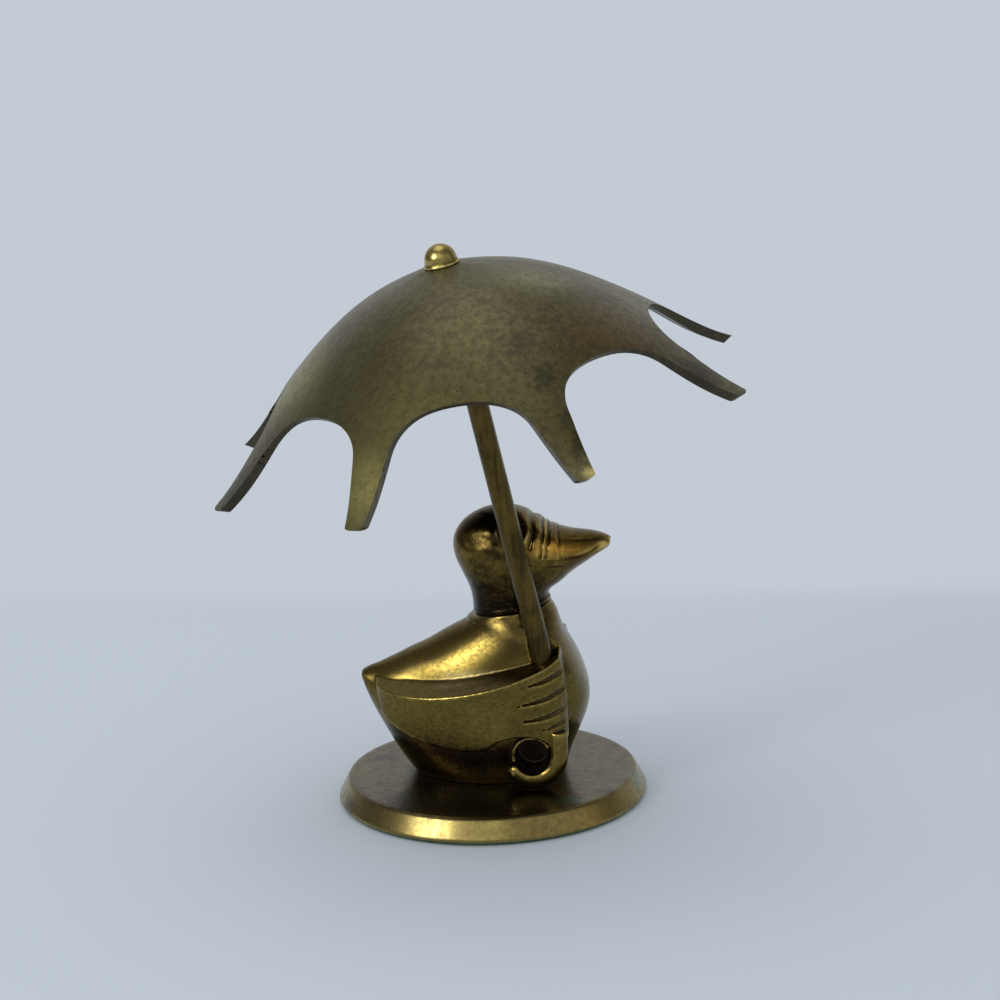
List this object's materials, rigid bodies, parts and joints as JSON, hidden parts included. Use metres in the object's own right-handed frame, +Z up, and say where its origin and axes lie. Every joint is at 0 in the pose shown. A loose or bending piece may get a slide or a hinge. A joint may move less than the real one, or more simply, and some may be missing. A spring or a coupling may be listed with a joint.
{
  "type": "brass duck with umbrella",
  "caption": "Brass duck figurine on a round base that holds a lift-out umbrella over itself under its wing.",
  "frame": {"origin": "centre of the base's underside, where the felt pad rests", "axes": "+X the way the duck looks, +Z up, the side that holds the umbrella is -Y"},
  "size_m": [0.1189, 0.1191, 0.1368],
  "materials": {
    "aged_brass": "aged satin with dark patina in the hollows",
    "rod_brass": "aged satin, drawn lengthwise",
    "canopy_brass": "matt brushed with an even brown-green patina",
    "bright_brass": "satin, worn bright",
    "steel": "plain",
    "green_felt": "matt felt"
  },
  "bodies": {
    "duck": {"felt_pad": "green_felt", "base_disc": "aged_brass", "base_screw": "steel", "duck_body": "aged_brass", "duck_head": "aged_brass", "neck_stud": "steel"},
    "rod": {"umbrella_rod": "rod_brass"},
    "umbrella_top": {"canopy": "canopy_brass", "finial": "bright_brass"}
  },
  "joints": [
    {"name": "umbrella_lift", "type": "slide", "parent": "duck", "child": "rod", "axis": [-0.1883, -0.1233, 0.9743], "range_m": [0, 0.0125]},
    {"name": "umbrella_turn", "type": "hinge", "parent": "rod", "child": "umbrella_top", "pos_m": [-0.00409, -0.02447, 0.13187], "axis": [-0.1883, -0.1233, 0.9743], "continuous": true}
  ]
}
